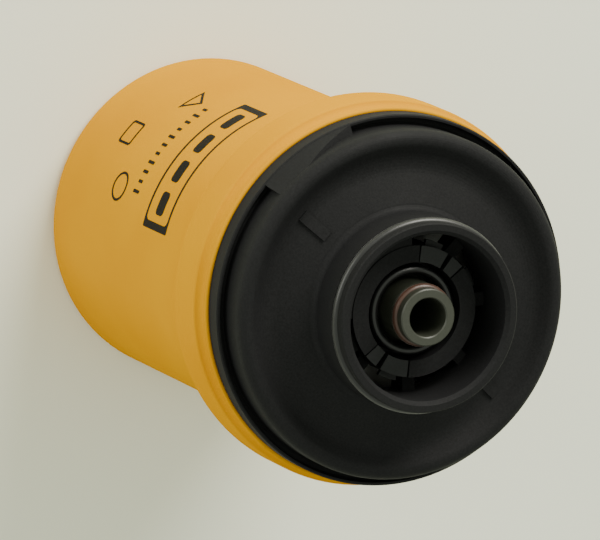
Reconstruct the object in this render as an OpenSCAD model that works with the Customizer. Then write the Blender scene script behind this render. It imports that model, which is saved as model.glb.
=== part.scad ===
// Spin-on fuel filter: a drawn steel can with a moulded cap rolled into its mouth.
// Stands on its closed end. Heights in the cap are measured from the can's lip.

/* [Can] */
// Height of the can from its foot to its lip
can_h = 117; // [100:1:140]
// Outside diameter of the can's body
can_d = 83; // [78:0.5:88]
// Outside diameter of the wide band below the lip
band_d = 98.8; // [98:0.2:102]
// Height of the straight part of the band
band_h = 10; // [9:0.5:14]
// Radius of each of the two bends between body and band
flare_r = 4.5; // [4.2:0.1:6]
// Thickness of the can's sheet
sheet_t = 0.8; // [0.6:0.1:1]
// Radius of the bend at the foot
foot_r = 3; // [2:0.25:5]
// Diameter of the dish pressed into the base
dish_d = 60; // [50:1:66]
// Depth of the dish in the base
dish_depth = 2.4; // [1.5:0.1:4]
// Diameter of the curled edge at the lip
curl_d = 1.3; // [1.1:0.1:1.6]
// Radius of the groove rolled in under the lip
roll_r = 2.3; // [2:0.1:2.6]

/* [Cap] */
// Outside diameter of the cap's skirt above the lip
skirt_d = 94.8; // [93:0.2:96]
// Height of the skirt's edge above the lip
skirt_h = 5.2; // [4:0.2:7]
// Diameter of the circle that the crest follows
crest_d = 84; // [82:0.5:86]
// Height of the crest above the lip
crest_h = 13.2; // [12:0.2:16]
// Radius of the crest's round edge
crest_r = 2.6; // [2:0.1:3.2]
// Diameter of the valley in the cap's face
valley_d = 71; // [67:0.5:73]
// Height of the valley above the lip
valley_h = 10.6; // [10:0.1:11.2]
// Height of the face where it meets the collar
face_h = 13.4; // [12:0.2:15]
// Thickness of the cap's wall
cap_t = 3; // [2.4:0.1:3.6]
// Thickness of the thin rim at the skirt's edge
rim_wall = 0.8; // [0.6:0.1:1.2]
// Height of the floor of the channel behind that rim
channel_h = 2.4; // [1.6:0.1:3.4]
// Angle that each ramp in the channel covers
ramp_arc = 33; // [25:1:45]
// Angle over which a ramp keeps its full height before it falls
ramp_level = 5; // [3:1:8]
// Width of the two raised marks on the face
mark_w = 3; // [2:0.25:4]
// Height of the marks above the face
mark_h = 0.6; // [0.4:0.1:1]

/* [Collar] */
// Height of the collar's rim above the lip
collar_h = 29; // [26:0.5:32]
// Outside diameter of the collar below its seal
collar_d = 49.2; // [48.6:0.1:50]
// Outside diameter of the rim above the seal
rim_d = 48.1; // [47.2:0.1:48.4]
// Bore of the collar
collar_bore = 42.4; // [41.4:0.1:42.8]
// Height of the rim above the seal's groove
rim_h = 2.5; // [2:0.1:4]
// Wire diameter of the collar's seal ring
collar_ring_t = 2.3; // [2:0.1:2.6]
// Depth of the seal groove in the collar
collar_groove = 2; // [1.8:0.1:2.2]

/* [Hub and windows] */
// Outside diameter of the hub ring
hub_d = 33.6; // [33:0.1:35]
// Bore of the hub ring
hub_bore = 25; // [24.6:0.1:25.4]
// Height of the hub ring above the lip
hub_h = 19.7; // [18:0.1:21]
// Number of spokes between hub and collar
spokes = 8; // [8:4:8]
// Width of each spoke
spoke_w = 3.4; // [2.6:0.1:4]
// Height of the top of the spokes above the lip
spoke_h = 15; // [13.6:0.1:16]
// Number of closed windows
closed_windows = 2; // [1:1:2]

/* [Outlet] */
// Height of the spigot's tip above the lip
spigot_h = 28; // [26:0.2:30]
// Outside diameter of the spigot's tip
spigot_d = 14.6; // [14:0.1:15.2]
// Bore of the spigot
bore_d = 9.9; // [9:0.1:10.6]
// Height of the spigot's tip above its seal groove
tip_h = 2.6; // [2:0.1:3.4]
// Outside diameter of the shoulder below the seal
shoulder_d = 15.8; // [15.4:0.1:16.2]
// Wire diameter of the spigot's seal ring
spigot_ring_t = 2.2; // [2:0.1:2.4]
// Outside diameter of the cup round the spigot
cup_d = 22.8; // [22.4:0.1:23.6]
// Height of the cup's lip above the can's lip
cup_h = 18.8; // [17:0.2:20]
// Thickness of the cup's wall
cup_t = 2.2; // [1.8:0.1:2.4]
// Depth of the cup's well
cup_depth = 9; // [7:0.25:11]

/* [Element] */
// Outside diameter of the filter element's end discs
element_d = 76; // [70:0.5:77]
// Height of the element's upper disc above the lip
element_rise = 1; // [-4:0.25:2]
// Space under the element for its spring
spring_space = 12; // [10:0.5:20]
// Thickness of the end discs and of the centre tube
disc_t = 0.8; // [0.6:0.1:1]
// Height of the turned edge of each end disc
disc_edge = 6; // [4:0.5:9]
// Outside diameter of the perforated centre tube
tube_d = 26; // [24:0.5:30]
// Number of pleats in the paper
pleats = 48; // [36:1:54]
// Radial thickness of the paper at a fold
paper_fold = 10; // [8:0.5:11]
// Diameter of each hole in the centre tube
tube_hole_d = 4.5; // [3.5:0.1:5]
// Number of holes round the centre tube
tube_holes = 8; // [6:1:9]
// Distance between rows of holes
hole_pitch = 10; // [8:0.5:14]
// Wire diameter of the element's spring
spring_wire = 2; // [1.6:0.1:2.4]
// Diameter of the spring at its foot
spring_foot_d = 44; // [40:1:50]
// Diameter of the spring at its head
spring_head_d = 26; // [24:1:34]
// Number of turns of the spring
spring_turns = 3; // [2.5:0.5:4]

/* [Hidden] */
$fn = 60;

// Clearance between pieces that fit together
fit = 0.2;
// Points on a round stretch of a turned outline
arc_steps = 10;

// Can, worked out from its sizes
can_r = can_d / 2;
band_r = band_d / 2;
dish_r = dish_d / 2;
flare_dr = band_r - can_r;
flare_angle = acos(1 - flare_dr / (2 * flare_r));
flare_h = 2 * flare_r * sin(flare_angle);
ridge_r = 0.9;
ridge_turn = 50;
roll_start = 248;
roll_z = -curl_d - roll_r * 0.55;
ridge_z = roll_z + roll_r * sin(roll_start) - ridge_r * sin(ridge_turn);
band_low = ridge_z - band_h;
roll_mid_r = band_r - ridge_r * (1 - cos(ridge_turn)) - roll_r * cos(roll_start);
roll_floor_r = roll_mid_r - roll_r;

// Cap, worked out from its sizes
skirt_r = skirt_d / 2;
neck_r = roll_floor_r - sheet_t - 1.5 * fit;
flange_r = band_r - sheet_t - fit;
cap_foot_r = flare_r - sheet_t - fit;
cap_bore_r = flange_r - cap_foot_r - cap_t;
crest_mid_r = crest_d / 2;
valley_r = valley_d / 2;
valley_bend = 6;
edge_bevel = 0.3;
crest_wall_r = crest_mid_r + crest_r;
seal_t = 2.8;
seal_groove = seal_t - fit;
seal_z = ridge_z - band_h / 2;

// Collar and hub, worked out from their sizes
collar_r = collar_d / 2;
rim_r = rim_d / 2;
collar_bore_r = collar_bore / 2;
rim_bevel = 1;
groove_floor_r = collar_r - collar_groove;
groove_h = collar_ring_t + fit;
groove_top = collar_h - rim_h;
hub_r = hub_d / 2;
hub_bore_r = hub_bore / 2;
hub_low = face_h - cap_t - 2;
hub_step = hub_h - 4.2;
// Where the turned forms start, clear of every step and slot
seam = 24;
spoke_pitch = 360 / spokes;
first_closed = 3;
gap_from = 80;
gap_to = 128;
slot_from = 94.5;
slot_to = 99.5;
thin_slot = 1.6;
hook_arc = 16;
hook_out = 1.3;
hook_h = 1.2;
hook_at = 112;
catch_at = 67;
latch_split_r = (hub_r + hub_bore_r) / 2;

// Outlet, worked out from its sizes
tip_r = spigot_d / 2;
bore_r = bore_d / 2;
shoulder_r = shoulder_d / 2;
ring_groove_r = tip_r - 1.5;
ring_groove_h = spigot_ring_t + fit;
ring_groove_top = spigot_h - tip_h;
cup_r = cup_d / 2;
cup_floor = cup_h - cup_depth;
cup_floor_t = 2;
tail_r = tip_r - 0.8;
tail_low = element_rise - 7;
wide_bore_r = tail_r - 1;
bore_low = 5.5;

// Element, worked out from its sizes
element_r = element_d / 2;
element_top = can_h + element_rise;
floor_z = dish_depth + sheet_t;
element_low = floor_z + spring_space;
tube_r = tube_d / 2;
neck_bore_r = tail_r + 2.4;
disc_corner = 1.5;
media_out_r = element_r - disc_corner;
media_in_r = tube_r + fit;
media_h = element_top - element_low - 2 * disc_t;
hole_rows = floor((media_h - 2 * disc_edge) / hole_pitch);

// Points along an arc, counter-clockwise when the second angle is the larger
function arc(c, r, from, to, steps = arc_steps) =
    [for (i = [0 : steps]) let (a = from + (to - from) * i / steps) c + r * [cos(a), sin(a)]];

// Outward normal of a step along a path
function side(a, b) = let (d = (b - a) / norm(b - a)) [d[1], -d[0]];

// Mitred normal at one point of a path
function mitre(p, i) =
    let (a = side(p[max(i - 1, 0)], p[max(i, 1)]),
         b = side(p[min(i, len(p) - 2)], p[min(i + 1, len(p) - 1)]),
         m = (a + b) / norm(a + b))
    m / (m * a);

// Closed outline of a sheet whose outer face follows the path
function sheet(p, t) = concat(p, [for (i = [len(p) - 1 : -1 : 0]) p[i] - t * mitre(p, i)]);

// Star outline with folds at two radii
function star(n, r_out, r_in) =
    [for (i = [0 : 2 * n - 1]) let (r = i % 2 == 0 ? r_out : r_in, a = 180 * i / n) r * [cos(a), sin(a)]];

// Outer face of the can from the middle of its base to the lip, heights from the foot
can_path = concat(
    [[0, dish_depth]],
    arc([dish_r - dish_depth, dish_depth / 2], dish_depth / 2, 90, 30, 4),
    arc([dish_r + dish_depth, dish_depth / 2], dish_depth / 2, 210, 270, 4),
    arc([can_r - foot_r, foot_r], foot_r, -90, 0),
    arc([can_r + flare_r, can_h + band_low - flare_h], flare_r, 180, 180 - flare_angle),
    arc([band_r - flare_r, can_h + band_low], flare_r, -flare_angle, 0),
    arc([band_r - ridge_r, can_h + ridge_z], ridge_r, 0, ridge_turn, 5),
    arc([roll_mid_r, can_h + roll_z], roll_r, roll_start, 135)
);

module can() {
    curl_r = curl_d / 2;
    color("goldenrod")
    rotate_extrude() {
        polygon(sheet(can_path, sheet_t));
        translate([neck_r + 1.5 * fit + curl_r + 0.1, can_h - curl_r]) circle(curl_r, $fn = 24);
    }
}

// Face of the cap from the skirt's edge to the collar
face_path = concat(
    [[skirt_r, skirt_h - edge_bevel], [skirt_r - edge_bevel, skirt_h],
     [skirt_r - rim_wall, skirt_h], [skirt_r - rim_wall, channel_h + 0.5],
     [skirt_r - rim_wall - 0.5, channel_h], [crest_wall_r + 0.5, channel_h],
     [crest_wall_r, channel_h + 0.5]],
    arc([crest_mid_r, crest_h - crest_r], crest_r, 0, 120),
    arc([valley_r, valley_h + valley_bend], valley_bend, 300, 252, 6),
    arc([collar_r + 2, face_h + 2], 2, 262, 180, 6)
);

// Turned form of the cap with its hollow
module cap_shell() {
    rotate_extrude() difference() {
        polygon(concat(
            [[cap_bore_r, band_low - cap_foot_r]],
            arc([flange_r - cap_foot_r, band_low], cap_foot_r, -90, 0, 6),
            [[flange_r, ridge_z - 0.3], [flange_r - 1, ridge_z + 0.5], [neck_r, roll_z - roll_r * 0.6],
             [neck_r, fit + 0.15], [skirt_r, fit + 0.15]],
            face_path,
            [[collar_r, groove_top - groove_h], [groove_floor_r, groove_top - groove_h],
             [groove_floor_r, groove_top], [rim_r, groove_top],
             [rim_r, collar_h - edge_bevel], [rim_r - edge_bevel, collar_h],
             [collar_bore_r + rim_bevel, collar_h], [collar_bore_r, collar_h - rim_bevel],
             [collar_bore_r, face_h - cap_t],
             [collar_r + 4, face_h - cap_t - 0.6], [valley_r, valley_h - cap_t],
             [cap_bore_r - 3, valley_h - cap_t - 0.5], [cap_bore_r, skirt_h - 1]]
        ));
        translate([flange_r - seal_groove, seal_z - seal_t / 2 - fit])
            square([seal_t, seal_t + 2 * fit]);
    }
}

// Ring between two heights
module ring(r_out, r_in, low, high) {
    translate([0, 0, low]) difference() {
        cylinder(r = r_out, h = high - low);
        translate([0, 0, -1]) cylinder(r = r_in, h = high - low + 2);
    }
}

// Part of a ring between two angles
module ring_part(r_out, r_in, low, high, from, to) {
    translate([0, 0, low]) rotate([0, 0, from]) rotate_extrude(angle = to - from)
        translate([r_in, 0]) square([r_out - r_in, high - low]);
}

// Hub ring, its spokes and the closed windows
module hub() {
    reach = collar_bore_r + 0.5;
    rotate([0, 0, seam]) difference() {
        ring(hub_r, hub_bore_r, hub_low, hub_h);
        translate([0, 0, hub_low - 1]) cylinder(r = latch_split_r + fit, h = hub_step - hub_low + 1);
        for (half = [0, 180])
            ring_part(hub_r + 1, hub_bore_r - 1, hub_step, hub_h + 1, gap_from - seam + half, gap_to - seam + half);
    }
    for (half = [0, 180])
        ring_part(hub_r + hook_out, hub_r - 0.5, hub_step + 1, hub_step + 1 + hook_h,
                  catch_at - hook_arc / 2 + half, catch_at + hook_arc / 2 + half);
    for (i = [0 : spokes - 1]) rotate([0, 0, i * spoke_pitch])
        translate([hub_r - 0.5, -spoke_w / 2, hub_low]) cube([reach - hub_r + 0.5, spoke_w, spoke_h - hub_low]);
    ring_part(reach, hub_r - 0.5, spoke_h - 1, hub_h - 0.3,
              first_closed * spoke_pitch, (first_closed + closed_windows) * spoke_pitch);
}

// Ramp that fills the channel: a step on the axis, level at first, then falling to the rim
module ramp() {
    inner = [crest_mid_r, crest_h - crest_r] + (crest_r - 0.3) * [cos(38), sin(38)];
    start = skirt_r * sin(ramp_level);
    run = skirt_r * sin(ramp_arc) - start;
    difference() {
        rotate_extrude(angle = ramp_arc) polygon([
            [crest_mid_r, channel_h - 0.5], [skirt_r - edge_bevel, channel_h - 0.5],
            [skirt_r - edge_bevel, skirt_h - 0.1], inner, [crest_mid_r, inner[1]]
        ]);
        translate([0, start, inner[1] + 0.2]) rotate([-atan((inner[1] + 0.2 - skirt_h) / run), 0, 0])
            cube([skirt_r * 1.2, skirt_r, crest_h]);
    }
}

// Raised radial mark that follows the face down into the valley
module mark() {
    slope_top = [collar_r + 2, face_h + 2] + 2 * [cos(262), sin(262)];
    valley = arc([valley_r, valley_h + valley_bend], valley_bend, 252, 280, 5);
    line = concat([slope_top + (valley[0] - slope_top) * 0.3], valley);
    rotate([90, 0, 0]) linear_extrude(mark_w, center = true) polygon(concat(
        [for (p = line) p + [0, mark_h]],
        [for (i = [len(line) - 1 : -1 : 0]) line[i] - [0, 1]]
    ));
}

module top_cap() {
    color("#2b2b2b")
    translate([0, 0, can_h]) {
        rotate([0, 0, seam]) cap_shell();
        for (half = [0, 180]) rotate([0, 0, half]) {
            mark();
            mirror([0, 1, 0]) ramp();
        }
        hub();
    }
}

// Round-section ring
module o_ring(r_mid, t, z) {
    translate([0, 0, z]) rotate_extrude() translate([r_mid, 0]) circle(t / 2, $fn = 24);
}

module can_seal() {
    color("#1c1c1c") o_ring(band_r - sheet_t - seal_t / 2 - fit / 4, seal_t - fit / 2, can_h + seal_z);
}

module collar_o_ring() {
    color("#202020")
        o_ring(groove_floor_r + collar_ring_t / 2 + fit / 4, collar_ring_t, can_h + groove_top - groove_h / 2);
}

// Ring of latches that fills the gaps in the hub
module latch_ring() {
    top = hub_h - 0.1;
    gaps = [[gap_to - thin_slot, gap_from + 180 + thin_slot], [slot_from, slot_to]];
    color("#333333")
    translate([0, 0, can_h]) {
        rotate([0, 0, seam]) difference() {
            ring(hub_r - 0.1, hub_bore_r, hub_low + 1, top);
            ring(hub_r + 1, latch_split_r, hub_low, hub_step + fit);
            for (half = [0, 180], gap = gaps)
                ring_part(hub_r + 1, hub_bore_r - 1, hub_step - fit, top + 1,
                          gap[0] - seam + half, gap[1] - seam + half);
        }
        for (half = [0, 180])
            ring_part(hub_r + hook_out, hub_r - 1, top - 2 - hook_h, top - 2,
                      hook_at - hook_arc / 2 + half, hook_at + hook_arc / 2 + half);
    }
}

module outlet_spigot() {
    color("#5a5c56")
    translate([0, 0, can_h]) rotate_extrude() polygon([
        [wide_bore_r, tail_low], [tail_r, tail_low], [tail_r, cup_floor + fit],
        [cup_r - cup_t - fit, cup_floor + fit], [cup_r - cup_t - fit, cup_floor + 1.6],
        [shoulder_r, cup_floor + 2.4], [shoulder_r, ring_groove_top - ring_groove_h],
        [ring_groove_r, ring_groove_top - ring_groove_h], [ring_groove_r, ring_groove_top],
        [tip_r, ring_groove_top], [tip_r, spigot_h - edge_bevel], [tip_r - edge_bevel, spigot_h],
        [bore_r + edge_bevel, spigot_h], [bore_r, spigot_h - edge_bevel],
        [bore_r, bore_low + wide_bore_r - bore_r], [wide_bore_r, bore_low]
    ]);
}

module spigot_o_ring() {
    color("#5a3a2c")
        o_ring(ring_groove_r + spigot_ring_t / 2 + fit / 4, spigot_ring_t,
               can_h + ring_groove_top - ring_groove_h / 2);
}

// Cup with a rolled lip that carries the spigot in the hub
module outlet_cup() {
    lip_r = cup_t / 2;
    seat_z = hub_low - fit;
    color("#262626")
    translate([0, 0, can_h]) rotate_extrude() polygon(concat(
        [[tail_r + fit, seat_z - cup_floor_t], [hub_r - 1, seat_z - cup_floor_t],
         [hub_r - 1, seat_z], [cup_r, seat_z]],
        arc([cup_r - lip_r, cup_h - lip_r], lip_r, 0, 180),
        [[cup_r - cup_t, cup_floor], [tail_r + fit, cup_floor]]
    ));
}

module element_grommet() {
    low = element_top - 3.2;
    high = element_top + 2.4;
    color("#1f1f1f") rotate_extrude() polygon([
        [tail_r + fit / 4, low], [neck_bore_r + 1.6, low], [neck_bore_r + 1.6, element_top - disc_t - fit / 2],
        [neck_bore_r - fit / 2, element_top - disc_t - fit / 2], [neck_bore_r - fit / 2, element_top + fit / 2],
        [neck_bore_r + 1.6, element_top + fit / 2], [neck_bore_r + 1.2, high], [tail_r + fit / 4, high]
    ]);
}

// Pressed disc with a turned edge; the hole is left out when its radius is nothing
module end_disc(hole_r) {
    path = concat(
        [[element_r, -disc_edge]],
        arc([element_r - disc_corner, -disc_corner], disc_corner, 0, 90, 6),
        [[hole_r, 0]]
    );
    rotate_extrude() polygon(sheet(path, disc_t));
}

module upper_end_disc() {
    color("silver") translate([0, 0, element_top]) end_disc(neck_bore_r);
}

module lower_end_disc() {
    color("silver") translate([0, 0, element_low]) mirror([0, 0, 1]) end_disc(0);
}

module pleated_media() {
    color("#d9c9a3") translate([0, 0, element_low + disc_t]) linear_extrude(media_h) difference() {
        polygon(star(pleats, media_out_r, media_in_r + paper_fold));
        polygon(star(pleats, media_out_r - paper_fold, media_in_r));
    }
}

module centre_tube() {
    color("silver") difference() {
        ring(tube_r, tube_r - disc_t, element_low + disc_t, element_top - disc_t);
        for (row = [0 : hole_rows - 1], i = [0 : tube_holes - 1])
            translate([0, 0, element_low + disc_edge + hole_pitch * (row + 0.5)])
            rotate([0, 90, (i + (row % 2) / 2) * 360 / tube_holes])
                cylinder(d = tube_hole_d, h = tube_r + 1, $fn = 24);
    }
}

// Conical spring swept along its own helix
module element_spring() {
    sides = 8;
    steps = 20 * spring_turns;
    wire_r = spring_wire / 2;
    foot_z = floor_z + wire_r;
    head_z = element_low - wire_r - fit / 4;
    function spot(i) = let (k = i / steps, r = (spring_foot_d + (spring_head_d - spring_foot_d) * k) / 2,
                            a = 360 * spring_turns * k)
        [r * cos(a), r * sin(a), foot_z + (head_z - foot_z) * k];
    points = [for (i = [0 : steps]) let (a = 360 * spring_turns * i / steps) for (j = [0 : sides - 1])
        let (b = 360 * (j + 0.5) / sides)
        spot(i) + wire_r * [cos(b) * cos(a), cos(b) * sin(a), sin(b)]];
    walls = [for (i = [0 : steps - 1], j = [0 : sides - 1])
        let (k = (j + 1) % sides)
        [i * sides + j, (i + 1) * sides + j, (i + 1) * sides + k, i * sides + k]];
    ends = [[for (j = [0 : sides - 1]) j], [for (j = [sides - 1 : -1 : 0]) steps * sides + j]];
    color("dimgray") polyhedron(points, concat(walls, ends), convexity = 6);
}

can();
top_cap();
can_seal();
collar_o_ring();
latch_ring();
outlet_spigot();
spigot_o_ring();
outlet_cup();
element_grommet();
upper_end_disc();
pleated_media();
centre_tube();
lower_end_disc();
element_spring();
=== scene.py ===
# %% [markdown]
# # Spin-on fuel filter
# This lesson dresses a fuel filter whose solids were made in a CAD program. The real filter is a drawn
# steel can with a moulded cap rolled into its mouth, and its collar seals it in a filter head. Blender
# changes none of its sizes. It adds what a plain solid lacks: paint, grain, rubber, print and light.
# The file runs from top to bottom as cells, and each step says what it makes before it makes it.
#
# ## Load the solids
# Their placements are baked into their meshes, and the imported objects that are not meshes are removed.

# %% Load the solids
import math

import bmesh
import bpy
from mathutils import Matrix, Vector


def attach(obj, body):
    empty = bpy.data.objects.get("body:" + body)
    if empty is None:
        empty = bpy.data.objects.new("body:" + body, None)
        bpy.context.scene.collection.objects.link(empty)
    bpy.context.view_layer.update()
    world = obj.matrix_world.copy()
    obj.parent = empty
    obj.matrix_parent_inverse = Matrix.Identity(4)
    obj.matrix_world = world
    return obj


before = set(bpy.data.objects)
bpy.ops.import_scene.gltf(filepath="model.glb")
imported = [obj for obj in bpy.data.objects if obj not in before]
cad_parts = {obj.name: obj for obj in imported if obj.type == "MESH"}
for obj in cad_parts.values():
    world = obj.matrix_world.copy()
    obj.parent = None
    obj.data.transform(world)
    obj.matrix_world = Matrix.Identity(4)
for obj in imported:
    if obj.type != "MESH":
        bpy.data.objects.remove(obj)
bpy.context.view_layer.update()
MM = 0.001

# %% [markdown]
# ## The camera
# The photograph was taken with a long lens from above the cap, with the can pointing away to the upper
# left. A camera can be placed by eye, but here its place is worked out from three angles and the spot where
# the centre of the can's lip appears, so that a change to one number moves the view in a way that can be
# followed. Azimuth and elevation say from where the camera looks, and the third angle says which way the
# can's axis runs in the picture.

# %% Place the camera
LIP_Z = 117 * MM
VIEW_AZIMUTH = math.radians(196.4)
VIEW_ELEVATION = math.radians(63.5)
AXIS_IN_PICTURE = math.radians(24.45)
DISTANCE = 2.51
LIP_RIGHT = 20.5 * MM
LIP_DOWN = 6.7 * MM

tilt = math.pi / 2 - VIEW_ELEVATION
level = Vector((-math.cos(VIEW_AZIMUTH), -math.sin(VIEW_AZIMUTH), 0))
across = Vector((math.sin(VIEW_AZIMUTH), -math.cos(VIEW_AZIMUTH), 0))
axis_seen = level * math.cos(tilt) + Vector((0, 0, math.sin(tilt)))
away = level * math.sin(tilt) - Vector((0, 0, math.cos(tilt)))
right = axis_seen * math.cos(AXIS_IN_PICTURE) + across * math.sin(AXIS_IN_PICTURE)
down = axis_seen * math.sin(AXIS_IN_PICTURE) - across * math.cos(AXIS_IN_PICTURE)

lens = bpy.data.cameras.new("camera")
lens.sensor_width = 36
lens.lens = 600
lens.clip_end = 50
camera = bpy.data.objects.new("camera", lens)
bpy.context.scene.collection.objects.link(camera)
eye = Vector((0, 0, LIP_Z)) - away * DISTANCE - right * LIP_RIGHT - down * LIP_DOWN
turn = Matrix((right, -down, -away)).transposed()
camera.matrix_world = Matrix.Translation(eye) @ turn.to_4x4()
bpy.context.scene.camera = camera
print("camera at", tuple(round(v, 3) for v in eye))

# %% [markdown]
# ## Helpers for pieces and materials
# Everything that follows is an object with a mesh, or a material made of nodes. Two small functions make
# those, and a third adds one node with its settings and its links, which keeps each finish short enough to
# read as a recipe. Colours are written as seen on a screen and turned into the linear light of shaders.

# %% Helpers
def linear(hex_colour):
    """Turns a colour as seen on a screen, such as DCA010, into the linear light that shaders use."""
    parts = [int(hex_colour[i : i + 2], 16) / 255 for i in (0, 2, 4)]
    return tuple(c / 12.92 if c <= 0.04045 else ((c + 0.055) / 1.055) ** 2.4 for c in parts) + (1.0,)


def piece(name, mesh, material=None):
    """Puts a finished mesh into the scene at the origin, with its material."""
    made = bpy.data.objects.new(name, mesh)
    bpy.context.scene.collection.objects.link(made)
    if material:
        mesh.materials.append(material)
    return made


def add(tree, kind, sockets=None, links=None, **settings):
    """Adds one node: settings are its options, sockets its values, links what feeds it."""
    made = tree.nodes.new(kind)
    for name, value in settings.items():
        setattr(made, name, value)
    for name, value in (sockets or {}).items():
        made.inputs[name].default_value = value
    for name, source in (links or {}).items():
        tree.links.new(source, made.inputs[name])
    return made


def new_material(name):
    """An empty material with its shader and output joined."""
    material = bpy.data.materials.new(name)
    material.use_nodes = True
    tree = material.node_tree
    tree.nodes.clear()
    shader = add(tree, "ShaderNodeBsdfPrincipled")
    add(tree, "ShaderNodeOutputMaterial", links={"Surface": shader.outputs["BSDF"]})
    return material, tree, shader


print("gold on a screen, in linear light:", linear("DCA010"))

# %% [markdown]
# ## The floor
# The filter stands on a pale, seamless floor. A plane would do, but a large disc has no corner that could
# show. It is matt card, slightly green like the photograph's, so that it throws no mirror image.

# %% Floor
FLOOR_RADIUS = 6

backdrop, backdrop_tree, backdrop_shader = new_material("studio_floor_matt_card")
backdrop_shader.inputs["Base Color"].default_value = linear("F2F6E4")
backdrop_shader.inputs["Roughness"].default_value = 0.75
floor_mesh = bpy.data.meshes.new("floor")
floor_form = bmesh.new()
bmesh.ops.create_circle(floor_form, cap_ends=True, radius=FLOOR_RADIUS, segments=96)
floor_form.to_mesh(floor_mesh)
floor_form.free()
floor = piece("floor", floor_mesh, backdrop)
print("floor radius in m:", FLOOR_RADIUS)

# %% [markdown]
# ## Light
# One big soft lamp above right of the picture gives the cap its long soft glow, a weaker one from the left
# keeps the can's far side open, and a pale sky fills the rest. The lamps are placed along the camera's own
# directions, which makes "above right" easy to say.

# %% Lamps and sky
LAMP_DISTANCE = 1.6
LAMP_TARGET = Vector((0, 0, 90 * MM))
SKY_STRENGTH = 1.0


def lamp(name, size, watts, colour, toward_right, up, toward_camera):
    """A soft round lamp, placed by the camera's directions and aimed at the filter."""
    light = bpy.data.lights.new(name, "AREA")
    light.shape = "DISK"
    light.size = size
    light.energy = watts
    light.color = linear(colour)[:3]
    made = bpy.data.objects.new(name, light)
    bpy.context.scene.collection.objects.link(made)
    way = (right * toward_right - down * up - away * toward_camera).normalized()
    made.location = LAMP_TARGET + way * LAMP_DISTANCE
    made.rotation_euler = (-way).to_track_quat("-Z", "Y").to_euler()
    return made


lamps = [
    lamp("lamp_above_right", 1.0, 40, "FFFBF2", toward_right=0.55, up=0.75, toward_camera=0.45),
    lamp("lamp_left", 1.2, 16, "FFFDF8", toward_right=-0.8, up=0.35, toward_camera=0.55),
]
sky = bpy.data.worlds.new("pale_studio")
sky.use_nodes = True
sky.node_tree.nodes["Background"].inputs["Color"].default_value = linear("E7EEDD")
sky.node_tree.nodes["Background"].inputs["Strength"].default_value = SKY_STRENGTH
bpy.context.scene.world = sky
print("lamps:", len(lamps), "sky strength:", SKY_STRENGTH)

# %% [markdown]
# ## What finishes are made of
# Every finish on this filter has the same three faults of a real surface: its colour is mottled, its gloss
# is uneven, and it has a fine relief. Each comes from noise on object coordinates, so a pattern stays where
# it is when the piece moves, and its scale is worked out from a size in millimetres on the real filter.

# %% Mottle, uneven gloss and relief
def per_mm(size_mm):
    """Noise scale whose features are about size_mm across."""
    return 1 / (size_mm * MM)


def mottle(tree, where, size_mm, dark, pale, detail=3.0, rough=0.55):
    """A colour that wanders between two tones, with patches of a given size."""
    noise = {"Scale": per_mm(size_mm), "Detail": detail, "Roughness": rough}
    patches = add(tree, "ShaderNodeTexNoise", noise, {"Vector": where})
    limits = {"From Min": 0.25, "From Max": 0.75}
    share = add(tree, "ShaderNodeMapRange", limits, {"Value": patches.outputs["Fac"]}).outputs["Result"]
    tones = {6: linear(dark), 7: linear(pale)}
    return add(tree, "ShaderNodeMix", tones, {0: share}, data_type="RGBA").outputs[2]


def uneven_gloss(tree, where, size_mm, smooth, dull, detail=3.0):
    """A roughness that wanders between two values."""
    noise = {"Scale": per_mm(size_mm), "Detail": detail, "Roughness": 0.55}
    patches = add(tree, "ShaderNodeTexNoise", noise, {"Vector": where})
    limits = {"From Min": 0.25, "From Max": 0.75, "To Min": smooth, "To Max": dull}
    return add(tree, "ShaderNodeMapRange", limits, {"Value": patches.outputs["Fac"]}).outputs["Result"]


def relief(tree, where, size_mm, depth_mm, strength, detail=3.0, rough=0.55, over=None):
    """Bumps of a real size and depth, on top of a coarser relief where one is given."""
    noise = {"Scale": per_mm(size_mm), "Detail": detail, "Roughness": rough}
    bumps = add(tree, "ShaderNodeTexNoise", noise, {"Vector": where})
    links = {"Height": bumps.outputs["Fac"]}
    if over:
        links["Normal"] = over
    depth = {"Distance": depth_mm * MM, "Strength": strength}
    return add(tree, "ShaderNodeBump", depth, links).outputs["Normal"]


print("noise scale for 1 mm:", per_mm(1.0))

# %% [markdown]
# ## Yellow enamel on the can
# The real can is drawn from sheet steel, sprayed and baked. Enamel pulls itself smooth but keeps a faint
# orange peel, and its colour shifts a little from place to place. The can is seen at a low angle, where a
# glossy paint would mirror the white floor and lose its colour, so the shader has no gloss of its own. Its
# roughness is set all the same, for viewers that add a gloss. A coarse and a fine relief give the peel.

# %% Enamel
def golden_enamel():
    """Baked yellow enamel: tells the eye that this is deep, satin paint on metal."""
    material, tree, shader = new_material("golden_yellow_baked_enamel_on_steel")
    where = add(tree, "ShaderNodeTexCoord").outputs["Object"]
    tree.links.new(mottle(tree, where, 38, "C88800", "D09200", detail=2), shader.inputs["Base Color"])
    tree.links.new(uneven_gloss(tree, where, 6, 0.34, 0.44), shader.inputs["Roughness"])
    peel = relief(tree, where, 1.3, 0.02, 0.35, detail=2)
    fine_peel = relief(tree, where, 0.28, 0.012, 0.5, detail=2, over=peel)
    tree.links.new(fine_peel, shader.inputs["Normal"])
    shader.inputs["Specular IOR Level"].default_value = 0.0
    return material


enamel = golden_enamel()
print("finish:", enamel.name)

# %% [markdown]
# ## Moulded plastics
# The cap is injection moulded from nylon filled with glass fibre. Its surface is matt because the mould was
# spark eroded, which leaves a fine grain, and the fibres show as a slightly lighter fleck. The latch ring is
# the same stuff, a shade lighter. The cup was moulded in a polished tool, so it mirrors its surroundings,
# and the outlet tube is a grey-green plastic with a satin skin. One recipe makes all four, because they
# differ only in tone, gloss and grain.

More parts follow.
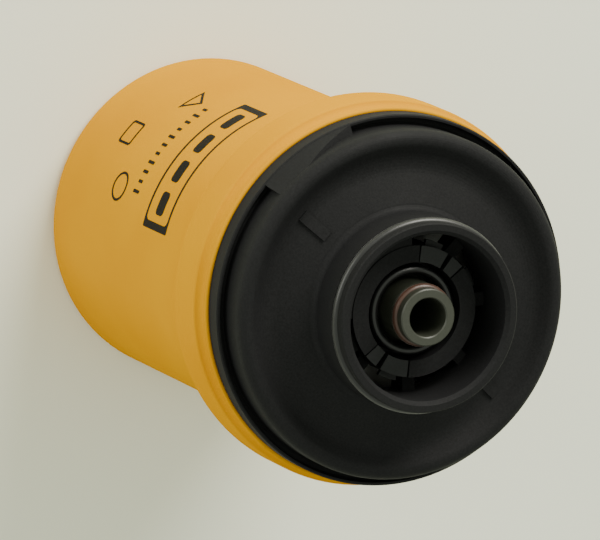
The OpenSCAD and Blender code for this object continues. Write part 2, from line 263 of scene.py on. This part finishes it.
# %% Plastics
def moulded_plastic(name, dark, pale, roughness, grain_mm, depth_mm, gloss=0.5):
    """Moulded plastic: fine matt grain with a paler fleck, over the slow waves left by the flow."""
    material, tree, shader = new_material(name)
    where = add(tree, "ShaderNodeTexCoord").outputs["Object"]
    fleck = mottle(tree, where, grain_mm, dark, pale, detail=4, rough=0.65)
    tree.links.new(fleck, shader.inputs["Base Color"])
    dullness = uneven_gloss(tree, where, 9, roughness - 0.05, roughness + 0.05)
    tree.links.new(dullness, shader.inputs["Roughness"])
    shader.inputs["Specular IOR Level"].default_value = gloss
    flow = relief(tree, where, 14, 0.05, 0.25, detail=1)
    tree.links.new(relief(tree, where, grain_mm * 0.6, depth_mm, 0.6, over=flow), shader.inputs["Normal"])
    return material


# Matt and nearly black, so that only the crest and the collar catch a soft light
cap_plastic = moulded_plastic("black_nylon_spark_eroded_grain", "131314", "212122", 0.66, 0.5, 0.05, 0.12)
# A shade lighter and smoother, so that the latches stand out from the hub
latch_plastic = moulded_plastic("dark_grey_nylon_as_moulded", "141516", "1F2021", 0.55, 0.6, 0.03, 0.3)
# Smooth, so that the cup's lip draws a bright line
cup_plastic = moulded_plastic("black_nylon_polished_tool", "0E0E0E", "141415", 0.3, 1.2, 0.01)
# Satin grey-green, the one light note in the middle of the cap
spigot_plastic = moulded_plastic("grey_green_acetal_satin_turned", "2C2E26", "35372E", 0.42, 1.0, 0.01)
print("plastics:", cap_plastic.name, latch_plastic.name, cup_plastic.name, spigot_plastic.name)

# %% [markdown]
# ## Rubber
# Seal rings are pressed from rubber between two mould halves. Nitrile rubber is black with a dull sheen, and
# the fuel-proof kind on the outlet tube is brown. A touch of sheen and a fine relief keep both from looking
# like plastic.

# %% Rubbers
def pressed_rubber(name, dark, pale, roughness):
    """Pressed rubber: dull, slightly uneven, with a soft edge of light."""
    material, tree, shader = new_material(name)
    where = add(tree, "ShaderNodeTexCoord").outputs["Object"]
    tree.links.new(mottle(tree, where, 2.5, dark, pale), shader.inputs["Base Color"])
    dullness = uneven_gloss(tree, where, 1.2, roughness - 0.06, roughness + 0.06, detail=2)
    tree.links.new(dullness, shader.inputs["Roughness"])
    tree.links.new(relief(tree, where, 0.35, 0.015, 0.5), shader.inputs["Normal"])
    shader.inputs["Sheen Weight"].default_value = 0.15
    shader.inputs["Sheen Roughness"].default_value = 0.4
    return material


nitrile = pressed_rubber("black_nitrile_rubber_pressed", "151515", "1E1E1F", 0.36)
brown_rubber = pressed_rubber("brown_fluoro_rubber_pressed", "3A251C", "4C3226", 0.38)
print("rubbers:", nitrile.name, brown_rubber.name)

# %% [markdown]
# ## Steel inside the can
# Nobody sees the element until the can is cut open, but it is dressed all the same. The discs and the
# tube are tin plate with fine lines from the rolls, and the spring is drawn wire with fine pits. One recipe
# serves both: a noise drives colour, gloss and relief together, and stretching it turns pits into lines.

# %% Tin plate and wire
def worked_steel(name, dark, pale, smooth, dull, size_mm, squeeze):
    """Bare steel: bright, with marks of its working that colour, dull and roughen it together."""
    material, tree, shader = new_material(name)
    shader.inputs["Metallic"].default_value = 1.0
    where = add(tree, "ShaderNodeTexCoord").outputs["Object"]
    drawn_out = add(tree, "ShaderNodeMapping", {"Scale": squeeze}, {"Vector": where}).outputs["Vector"]
    noise = {"Scale": per_mm(size_mm), "Detail": 3.0, "Roughness": 0.55}
    marks = add(tree, "ShaderNodeTexNoise", noise, {"Vector": drawn_out}).outputs["Fac"]
    tones = {6: linear(dark), 7: linear(pale)}
    tone = add(tree, "ShaderNodeMix", tones, {0: marks}, data_type="RGBA").outputs[2]
    limits = {"From Min": 0.25, "From Max": 0.75, "To Min": smooth, "To Max": dull}
    gloss = add(tree, "ShaderNodeMapRange", limits, {"Value": marks}).outputs["Result"]
    depth = {"Distance": 0.01 * MM, "Strength": 0.4}
    pits = add(tree, "ShaderNodeBump", depth, {"Height": marks}).outputs["Normal"]
    tree.links.new(tone, shader.inputs["Base Color"])
    tree.links.new(gloss, shader.inputs["Roughness"])
    tree.links.new(pits, shader.inputs["Normal"])
    return material


# Bright, with lines, so that pressed sheet reads as sheet
tinplate = worked_steel("tin_plate_rolled", "B4B5B2", "C8C8C4", 0.26, 0.4, 3, squeeze=(1, 14, 1))
# Darker and pitted, so that the spring reads as wire
wire_steel = worked_steel("spring_steel_drawn_wire", "7C7D7D", "949493", 0.3, 0.45, 0.6, squeeze=(1, 1, 1))
print("steels:", tinplate.name, wire_steel.name)

# %% [markdown]
# ## Filter paper
# The paper is made of short fibres stiffened with resin, which is cured in an oven and leaves darker spots.
# A fibre is too fine to show, so the noise is drawn coarser, at 0.7 mm, and the spots at 5 mm.

# %% Paper
def resin_paper():
    """Filter paper: short fibres, matt, cream with darker resin spots."""
    material, tree, shader = new_material("filter_paper_resin_cured")
    where = add(tree, "ShaderNodeTexCoord").outputs["Object"]
    fibres = mottle(tree, where, 0.7, "D4C29A", "E4D6B2", detail=5, rough=0.7)
    noise = {"Scale": per_mm(5), "Detail": 2.0, "Roughness": 0.55}
    spots = add(tree, "ShaderNodeTexNoise", noise, {"Vector": where}).outputs["Fac"]
    limits = {"From Min": 0.25, "From Max": 0.75, "To Min": 0.0, "To Max": 0.6}
    share = add(tree, "ShaderNodeMapRange", limits, {"Value": spots}).outputs["Result"]
    spotted = add(tree, "ShaderNodeMix", {7: linear("C9B27F")}, {0: share, 6: fibres}, data_type="RGBA")
    tree.links.new(spotted.outputs[2], shader.inputs["Base Color"])
    shader.inputs["Roughness"].default_value = 0.9
    tree.links.new(relief(tree, where, 0.7, 0.06, 0.8, detail=5, rough=0.7), shader.inputs["Normal"])
    return material


paper = resin_paper()
print("finish:", paper.name)

# %% [markdown]
# ## Finishes on the solids
# Each solid keeps the mesh that it came with, and only its material changes. A table from name to finish
# shows at a glance what every piece is made of.

# %% Give each solid its finish
FINISHES = {
    "can": enamel,
    "top_cap": cap_plastic,
    "can_seal": nitrile,
    "collar_o_ring": nitrile,
    "latch_ring": latch_plastic,
    "outlet_spigot": spigot_plastic,
    "spigot_o_ring": brown_rubber,
    "outlet_cup": cup_plastic,
    "element_grommet": nitrile,
    "upper_end_disc": tinplate,
    "pleated_media": paper,
    "centre_tube": tinplate,
    "lower_end_disc": tinplate,
    "element_spring": wire_steel,
}
for name, finish in FINISHES.items():
    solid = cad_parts[name]
    for slot in solid.material_slots:
        slot.material = finish
print("solids dressed:", len(FINISHES))

# %% [markdown]
# ## Shapes for the print
# The can is screen printed in dark ink after baking, with a plain framed panel, a row of ticks and three
# simple outlines. The print could be an image, but shapes stay sharp at any distance. They are drawn flat
# first, in millimetres along the can's girth (u) and its height (v), because a flat drawing is easy to
# change. A few functions give loops of points, and turn one loop into a filled shape or two into a band.

# %% Loops, filled shapes and bands
def rounded_loop(u, v, width, height, radius, steps=6):
    """Corner points of a box with round corners, counter-clockwise."""
    loop = []
    for turn_at, su, sv in ((0, 1, 1), (90, -1, 1), (180, -1, -1), (270, 1, -1)):
        for i in range(steps + 1):
            a = math.radians(turn_at + 90 * i / steps)
            corner_u = u + su * (width / 2 - radius)
            corner_v = v + sv * (height / 2 - radius)
            loop.append((corner_u + radius * math.cos(a), corner_v + radius * math.sin(a)))
    return loop


def regular_loop(u, v, radius, count, turned=0):
    """Corner points of a regular shape."""
    angles = [math.radians(turned + 360 * i / count) for i in range(count)]
    return [(u + radius * math.cos(a), v + radius * math.sin(a)) for a in angles]


def fill(form, loop):
    """One flat face."""
    form.faces.new([form.verts.new((u * MM, v * MM, 0)) for u, v in loop])


def band(form, outer, inner):
    """A flat band between two loops with the same number of points."""
    outside = [form.verts.new((u * MM, v * MM, 0)) for u, v in outer]
    inside = [form.verts.new((u * MM, v * MM, 0)) for u, v in inner]
    for i in range(len(outer)):
        k = (i + 1) % len(outer)
        form.faces.new((outside[i], outside[k], inside[k], inside[i]))


print("points in a loop with round corners:", len(rounded_loop(0, 0, 2, 2, 0.5)))

# %% [markdown]
# ## The flat drawing
# The panel sits high on the can, the ticks below it and the three outlines lowest. The drawing is then cut
# into narrow upright strips, because a flat face can't bend: without the cuts the long edges of the panel
# would pass through the can as straight lines.

# %% Draw the print
PANEL_V = 65.5
DASHES = 4
DASH_PITCH = 9.4
TICKS = 11
TICK_PITCH = 2.8
FIRST_TICK_U = 14
TICK_V = 48.2
TICK_HEIGHTS = (3.6, 2.4, 3.0)
STRIP = 0.72
STRIPS_EACH_SIDE = 32

form = bmesh.new()
band(form, rounded_loop(0, PANEL_V, 42.6, 14.6, 0.5), rounded_loop(0, PANEL_V, 38.6, 12.8, 1.6))
for i in range(DASHES):
    fill(form, rounded_loop((i - (DASHES - 1) / 2) * DASH_PITCH, PANEL_V, 6.4, 4.4, 1.2))
for i in range(TICKS):
    height = TICK_HEIGHTS[i % len(TICK_HEIGHTS)]
    fill(form, rounded_loop(FIRST_TICK_U - i * TICK_PITCH, TICK_V, 0.9, height, 0.25, 3))
band(form, regular_loop(14.5, 38, 4.0, 32), regular_loop(14.5, 38, 3.3, 32))
band(form, rounded_loop(0.5, 27.5, 7.2, 7.2, 1.0), rounded_loop(0.5, 27.5, 5.8, 5.8, 0.6))
band(form, regular_loop(-15.5, 38.5, 4.8, 3, turned=90), regular_loop(-15.5, 38.5, 3.3, 3, turned=90))
for i in range(-STRIPS_EACH_SIDE, STRIPS_EACH_SIDE + 1):
    everything = form.verts[:] + form.edges[:] + form.faces[:]
    bmesh.ops.bisect_plane(form, geom=everything, plane_co=(i * STRIP * MM, 0, 0), plane_no=(1, 0, 0))
flat_print = bpy.data.meshes.new("flat_print")
form.to_mesh(flat_print)
form.free()
print("ticks:", TICKS, "faces in the flat drawing:", len(flat_print.polygons))

# %% [markdown]
# ## Ink
# Screen ink is a thin dark film, duller than the paint, and it covers unevenly where the screen's mesh let
# less through. The same noise that thins its tone also makes its relief. Like the paint it is seen at a low
# angle, so it gets almost no gloss, or its black would turn grey.

# %% Ink
def screen_ink():
    """Dark ink on enamel: nearly black, a little thin in places, duller than the paint."""
    material, tree, shader = new_material("black_screen_ink")
    where = add(tree, "ShaderNodeTexCoord").outputs["Object"]
    noise = {"Scale": per_mm(0.9), "Detail": 4.0, "Roughness": 0.7}
    cover = add(tree, "ShaderNodeTexNoise", noise, {"Vector": where}).outputs["Fac"]
    limits = {"From Min": 0.25, "From Max": 0.75}
    thin = add(tree, "ShaderNodeMapRange", limits, {"Value": cover}).outputs["Result"]
    tones = {6: linear("0C0907"), 7: linear("16120D")}
    tone = add(tree, "ShaderNodeMix", tones, {0: thin}, data_type="RGBA").outputs[2]
    depth = {"Distance": 0.01 * MM, "Strength": 0.4}
    film = add(tree, "ShaderNodeBump", depth, {"Height": thin}).outputs["Normal"]
    tree.links.new(tone, shader.inputs["Base Color"])
    tree.links.new(film, shader.inputs["Normal"])
    shader.inputs["Roughness"].default_value = 0.5
    shader.inputs["Specular IOR Level"].default_value = 0.05
    return material


ink = screen_ink()
print("finish:", ink.name)

# %% [markdown]
# ## Wrapping the drawing round the can
# A Geometry Nodes tree bends the drawing. The angle round the can is the distance along the girth divided by
# the radius, so lengths stay true. The bent faces are pushed out by the thickness of the ink film. Radius,
# azimuth and film are named inputs, so the same tree would fit any can.

# %% Tree that wraps a drawing round a can
def wrap_tree(material):
    """Geometry Nodes: a flat drawing goes round a cylinder and gets a thickness and a material."""
    tree = bpy.data.node_groups.new("wrap_round_can", "GeometryNodeTree")
    tree.interface.new_socket("Geometry", in_out="INPUT", socket_type="NodeSocketGeometry")
    for name in ("Radius", "Azimuth", "Film"):
        tree.interface.new_socket(name, in_out="INPUT", socket_type="NodeSocketFloat")
    tree.interface.new_socket("Geometry", in_out="OUTPUT", socket_type="NodeSocketGeometry")
    start = add(tree, "NodeGroupInput")
    radius = start.outputs["Radius"]
    position = add(tree, "GeometryNodeInputPosition").outputs["Position"]
    spot = add(tree, "ShaderNodeSeparateXYZ", links={"Vector": position})

    parted = {0: spot.outputs["X"], 1: radius}
    share = add(tree, "ShaderNodeMath", links=parted, operation="DIVIDE").outputs[0]
    turned = {0: share, 1: start.outputs["Azimuth"]}
    angle = add(tree, "ShaderNodeMath", links=turned, operation="ADD").outputs[0]
    cosine = add(tree, "ShaderNodeMath", links={0: angle}, operation="COSINE").outputs[0]
    sine = add(tree, "ShaderNodeMath", links={0: angle}, operation="SINE").outputs[0]
    x = add(tree, "ShaderNodeMath", links={0: cosine, 1: radius}, operation="MULTIPLY").outputs[0]
    y = add(tree, "ShaderNodeMath", links={0: sine, 1: radius}, operation="MULTIPLY").outputs[0]
    bent = {"X": x, "Y": y, "Z": spot.outputs["Y"]}
    wrapped = add(tree, "ShaderNodeCombineXYZ", links=bent).outputs["Vector"]

    drawing = {"Geometry": start.outputs["Geometry"], "Position": wrapped}
    placed = add(tree, "GeometryNodeSetPosition", links=drawing).outputs["Geometry"]
    film = {"Mesh": placed, "Offset Scale": start.outputs["Film"]}
    thick = add(tree, "GeometryNodeExtrudeMesh", {"Individual": False}, film).outputs["Mesh"]
    real = add(tree, "GeometryNodeRealizeInstances", links={"Geometry": thick}).outputs["Geometry"]
    inked = add(tree, "GeometryNodeSetMaterial", {"Material": material}, {"Geometry": real})
    add(tree, "NodeGroupOutput", links={"Geometry": inked.outputs["Geometry"]})
    return tree


wrap = wrap_tree(ink)
print("inputs of the tree:", [item.name for item in wrap.interface.items_tree if item.in_out == "INPUT"])

# %% [markdown]
# ## Running a tree
# A modifier holds the tree, and its inputs are set by their identifiers before anything is evaluated. The
# result is copied out as a plain mesh and the maker is removed, so that what is left is an ordinary piece.

# %% Run a tree and keep its mesh
def run_tree(name, mesh, tree, values, material):
    """Runs a tree on a mesh, sets its named inputs by identifier and keeps the result as a plain mesh."""
    maker = piece(name + "_maker", mesh)
    modifier = maker.modifiers.new("tree", "NODES")
    modifier.node_group = tree
    for item in tree.interface.items_tree:
        if item.item_type == "SOCKET" and item.in_out == "INPUT" and item.name in values:
            modifier[item.identifier] = values[item.name]
    bpy.context.view_layer.update()
    depsgraph = bpy.context.evaluated_depsgraph_get()
    result = bpy.data.meshes.new_from_object(maker.evaluated_get(depsgraph), depsgraph=depsgraph)
    result.name = name
    bpy.data.objects.remove(maker)
    result.materials.clear()
    return piece(name, result, material)


print("tree helper ready")

# %% [markdown]
# ## The print on the can
# The drawing is wrapped at the can's radius plus a hair, so that paint and ink don't flicker through each
# other, and turned to the side of the can that the photograph shows.

# %% Print the can
CAN_RADIUS = 41.5 * MM
LIFT = 0.03 * MM
FILM = 0.02 * MM
PRINT_AZIMUTH = math.radians(179)

sizes = {"Radius": CAN_RADIUS + LIFT, "Azimuth": PRINT_AZIMUTH, "Film": FILM}
can_print = run_tree("can_print", flat_print, wrap, sizes, ink)
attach(can_print, "root")
print("faces in the wrapped print:", len(can_print.data.polygons))
